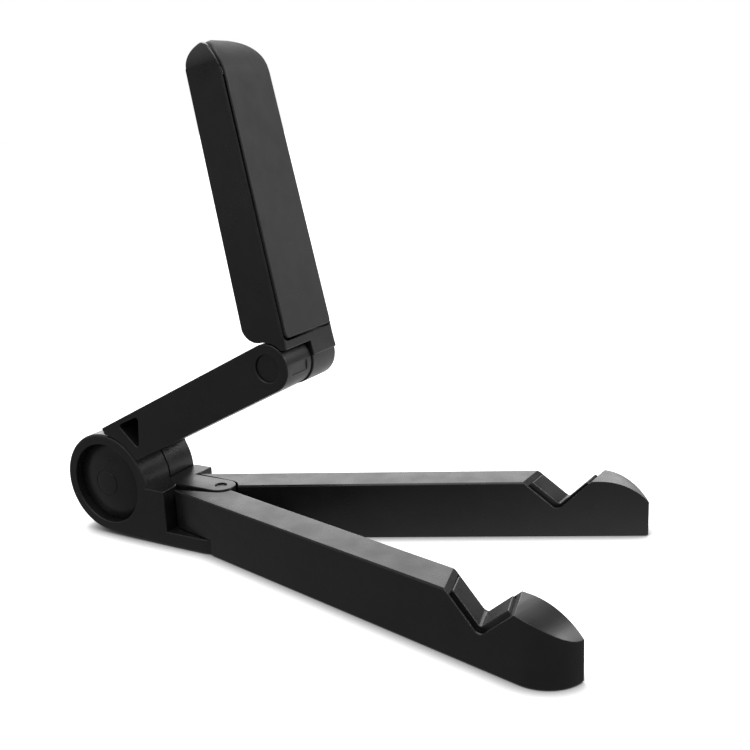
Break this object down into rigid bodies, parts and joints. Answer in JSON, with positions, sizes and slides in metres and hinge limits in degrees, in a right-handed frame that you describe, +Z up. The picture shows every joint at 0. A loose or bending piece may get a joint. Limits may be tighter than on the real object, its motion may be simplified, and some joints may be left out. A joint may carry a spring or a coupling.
{
  "type": "folding phone and tablet stand",
  "caption": "Folding desk stand of black plastic: splayed legs with lined notches hold the device's lower edge, and a hinged arm carries a rubber-faced backrest.",
  "frame": {"origin": "on the table, in the face of the base's rubber sole, straight below the pin that both legs turn on", "axes": "+X from the hub towards the toes of the legs, +Y from the near leg towards the far leg along the hub's axis, +Z up from the table"},
  "size_m": [0.2032, 0.1125, 0.1683],
  "materials": {
    "black_plastic": "satin, finely grained",
    "black_rubber": "matte",
    "steel": "plain",
    "nylon": "natural"
  },
  "bodies": {
    "base": {"base_body": "black_plastic", "base_sole": "black_rubber", "hub_cap": "black_plastic", "hub_bolt": "steel", "hub_nut": "steel", "hub_spring_washer": "steel", "hub_friction_ring": "nylon", "leg_pin": "steel", "leg_washers": "nylon"},
    "leg_near": {"leg_near_body": "black_plastic", "leg_near_sole": "black_plastic", "leg_near_cradle": "black_rubber", "leg_near_foot": "black_rubber", "leg_near_screws": "steel"},
    "leg_far": {"leg_far_body": "black_plastic", "leg_far_sole": "black_plastic", "leg_far_cradle": "black_rubber", "leg_far_foot": "black_rubber", "leg_far_screws": "steel"},
    "arm": {"arm_body": "black_plastic", "arm_cover": "black_plastic", "arm_screws": "steel", "hub_rear_cap": "black_plastic", "elbow_cap": "black_plastic", "elbow_bolt": "steel", "elbow_nut": "steel", "elbow_spring_washer": "steel", "elbow_friction_ring": "nylon"},
    "pad": {"pad_body": "black_plastic", "pad_backing": "black_plastic", "pad_screws": "steel", "pad_face": "black_rubber", "ear_cap": "black_plastic"}
  },
  "joints": [
    {"name": "leg_near_hinge", "type": "hinge", "parent": "base", "child": "leg_near", "pos_m": [0, 0, 0.0085], "axis": [0, 0, -1], "range_deg": [-13.6, 13.4]},
    {"name": "leg_far_hinge", "type": "hinge", "parent": "base", "child": "leg_far", "pos_m": [0, 0, 0.0115], "axis": [0, 0, 1], "range_deg": [-24.5, 2.5]},
    {"name": "hub_hinge", "type": "hinge", "parent": "base", "child": "arm", "pos_m": [-0.0413, 0, 0.0196], "axis": [0, -1, 0], "range_deg": [-26.7, 78.3]},
    {"name": "elbow_hinge", "type": "hinge", "parent": "arm", "child": "pad", "pos_m": [0.03378, 0, 0.06906], "axis": [0, -1, 0], "range_deg": [-75, 15]}
  ]
}
